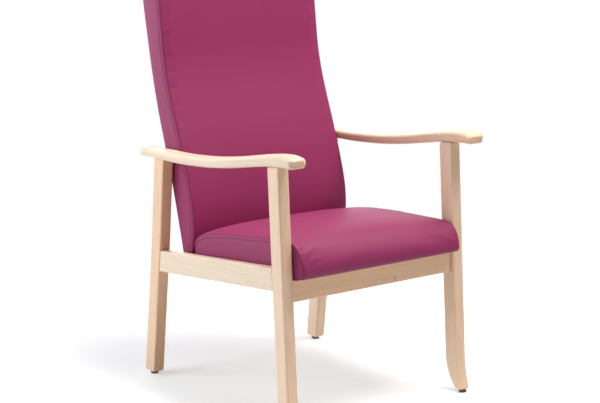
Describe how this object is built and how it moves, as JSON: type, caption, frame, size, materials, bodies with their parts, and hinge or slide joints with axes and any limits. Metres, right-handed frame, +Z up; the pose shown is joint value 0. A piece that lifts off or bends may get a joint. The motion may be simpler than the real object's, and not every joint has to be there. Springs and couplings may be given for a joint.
{
  "type": "fireside chair",
  "caption": "High-back fireside chair: beech frame with curved open arms and sabre front feet, a domed upholstered seat and a tall curved upholstered back.",
  "frame": {"origin": "centre of the chair's bounding box at floor level, under the four glides", "axes": "+Z up; the chair faces -Y; +X is the sitter's left"},
  "size_m": [0.593, 0.7012, 1.119],
  "materials": {
    "beech": "clear satin lacquer over pale beech",
    "hidden_beech": "bare beech",
    "plywood": "bare birch plywood",
    "vinyl": "soft magenta coated upholstery fabric with a fine grain",
    "rear_vinyl": "the same coated fabric, stretched flat over the rear",
    "foam": "open-cell upholstery foam",
    "steel": "zinc-plated",
    "glide": "moulded nail-on glide"
  },
  "bodies": {
    "root": {"arm_dowel_front_left": "hidden_beech", "arm_dowel_front_right": "hidden_beech", "arm_dowel_rear_left": "hidden_beech", "arm_dowel_rear_right": "hidden_beech", "armrest_left": "beech", "armrest_right": "beech", "back_board": "plywood", "back_bolt_1": "steel", "back_bolt_2": "steel", "back_bolt_3": "steel", "back_bolt_4": "steel", "back_bracket_left": "steel", "back_bracket_right": "steel", "back_cover": "vinyl", "back_foam": "foam", "bracket_screw_back_left": "steel", "bracket_screw_back_right": "steel", "bracket_screw_leg_left": "steel", "bracket_screw_leg_right": "steel", "corner_block_front_left": "hidden_beech", "corner_block_front_right": "hidden_beech", "corner_block_rear_left": "hidden_beech", "corner_block_rear_right": "hidden_beech", "front_glide_left": "glide", "front_glide_right": "glide", "front_leg_left": "beech", "front_leg_right": "beech", "front_rail": "beech", "front_rail_dowel_left_lower": "hidden_beech", "front_rail_dowel_left_upper": "hidden_beech", "front_rail_dowel_right_lower": "hidden_beech", "front_rail_dowel_right_upper": "hidden_beech", "rear_cover": "rear_vinyl", "rear_glide_left": "glide", "rear_glide_right": "glide", "rear_leg_left": "beech", "rear_leg_right": "beech", "rear_rail": "beech", "rear_rail_dowel_left_lower": "hidden_beech", "rear_rail_dowel_left_upper": "hidden_beech", "rear_rail_dowel_right_lower": "hidden_beech", "rear_rail_dowel_right_upper": "hidden_beech", "seat_board": "plywood", "seat_cover": "vinyl", "seat_foam": "foam", "seat_screw_front_left": "steel", "seat_screw_front_right": "steel", "seat_screw_rear_left": "steel", "seat_screw_rear_right": "steel", "side_rail_dowel_front_left_lower": "hidden_beech", "side_rail_dowel_front_left_upper": "hidden_beech", "side_rail_dowel_front_right_lower": "hidden_beech", "side_rail_dowel_front_right_upper": "hidden_beech", "side_rail_dowel_rear_left_lower": "hidden_beech", "side_rail_dowel_rear_left_upper": "hidden_beech", "side_rail_dowel_rear_right_lower": "hidden_beech", "side_rail_dowel_rear_right_upper": "hidden_beech", "side_rail_left": "beech", "side_rail_right": "beech"}
  },
  "joints": []
}
